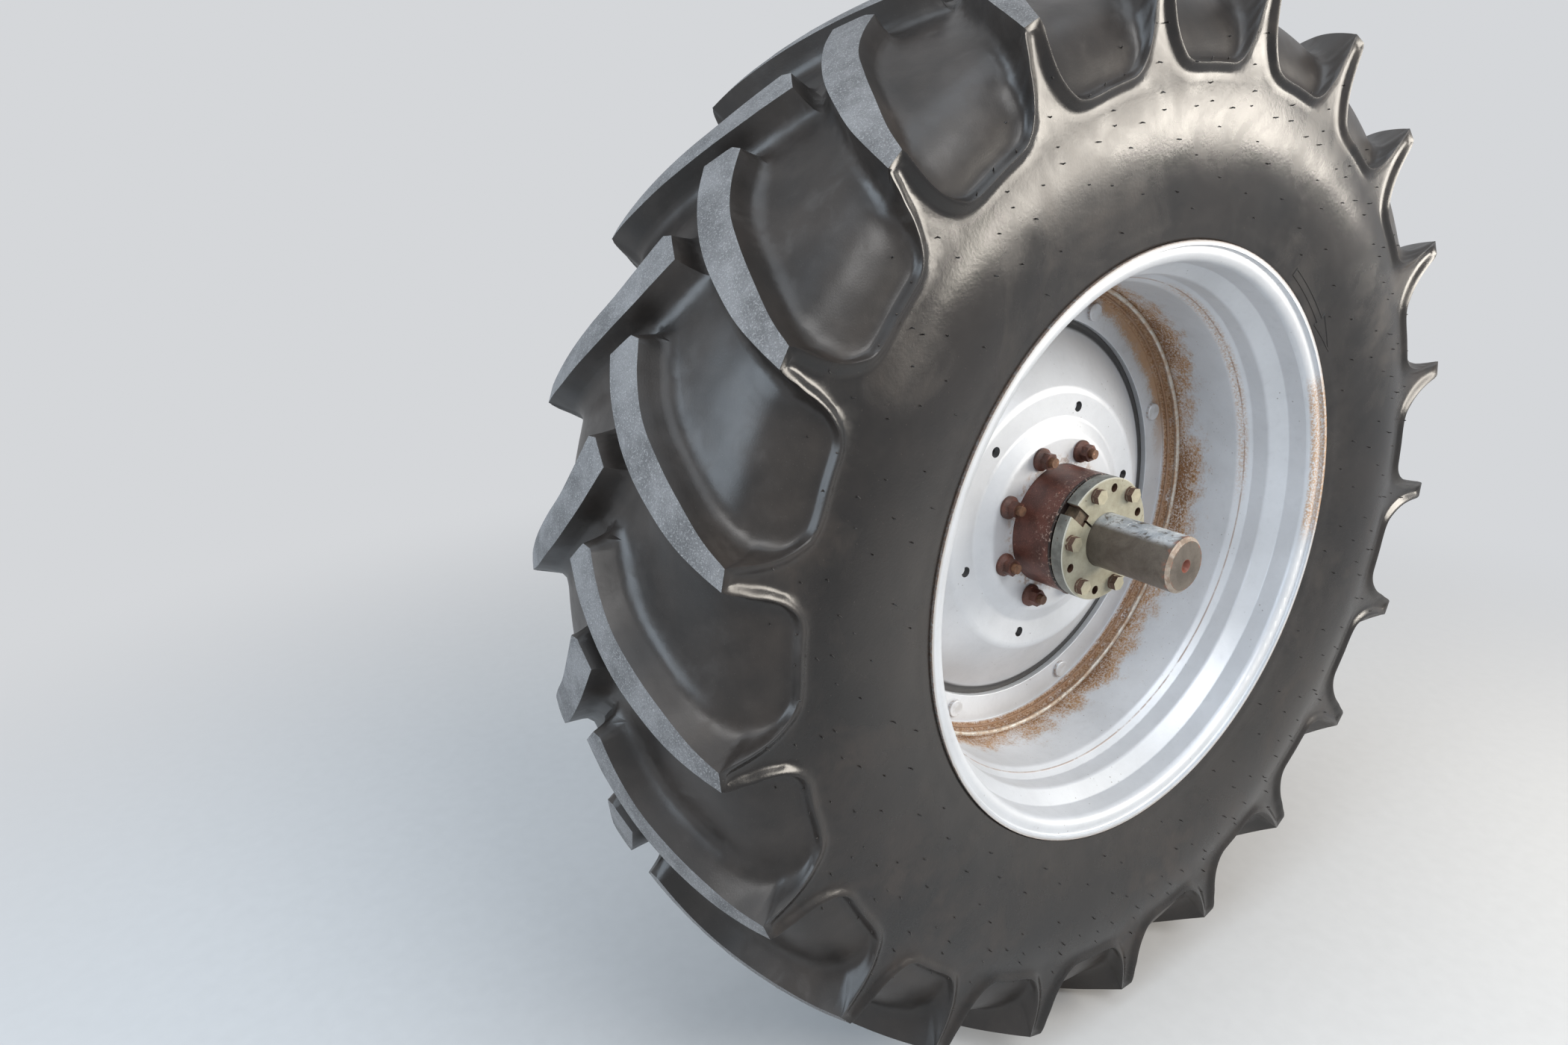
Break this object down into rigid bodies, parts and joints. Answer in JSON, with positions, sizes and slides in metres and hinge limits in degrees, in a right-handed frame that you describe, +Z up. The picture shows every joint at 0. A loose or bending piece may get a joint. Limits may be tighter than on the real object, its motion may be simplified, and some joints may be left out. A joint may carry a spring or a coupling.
{
  "type": "tractor rear wheel on bar axle",
  "caption": "Large cleated rear wheel clamped by a wedge sleeve on a round bar axle that turns in its trumpet-shaped housing",
  "frame": {"origin": "centre of the housing's inner bolt flange, on the wheel's axis", "axes": "+Z up, +X forward as the tractor drives, +Y along the axle towards the middle of the tractor; the wheel is outboard at -Y"},
  "size_m": [1.8556, 0.931, 1.856],
  "materials": {
    "tyre": "smooth black rubber, lug tops scuffed grey",
    "rim_paint": "silver-grey paint with rust along the weld",
    "disc_paint": "silver-grey paint",
    "hub_oxide": "casting with red-brown rust",
    "rusty_steel": "rusted steel",
    "sleeve_steel": "pale grey-green primer",
    "plated_steel": "dull zinc plate",
    "valve_brass": "dull brass",
    "bar_steel": "turned steel, worn and stained",
    "housing_paint": "dark grey paint on a casting",
    "bearing_steel": "ground steel"
  },
  "bodies": {
    "axle": {"axle_housing": "housing_paint", "bearing_cap": "housing_paint", "cap_screws": "plated_steel", "outer_bearing": "bearing_steel", "inner_bearing": "bearing_steel"},
    "wheel": {"tyre": "tyre", "rim": "rim_paint", "mounting_ring": "rim_paint", "disc": "disc_paint", "hub": "hub_oxide", "hub_key": "rusty_steel", "sleeve_upper": "sleeve_steel", "sleeve_lower": "sleeve_steel", "wheel_studs": "rusty_steel", "wheel_nuts": "rusty_steel", "ring_screws": "disc_paint", "ring_nuts": "disc_paint", "sleeve_screws": "plated_steel", "valve": "valve_brass", "axle_shaft": "bar_steel"}
  },
  "joints": [
    {"name": "wheel_spin", "type": "hinge", "parent": "axle", "child": "wheel", "pos_m": [0, -0.635, 0], "axis": [0, 1, 0], "continuous": true}
  ]
}
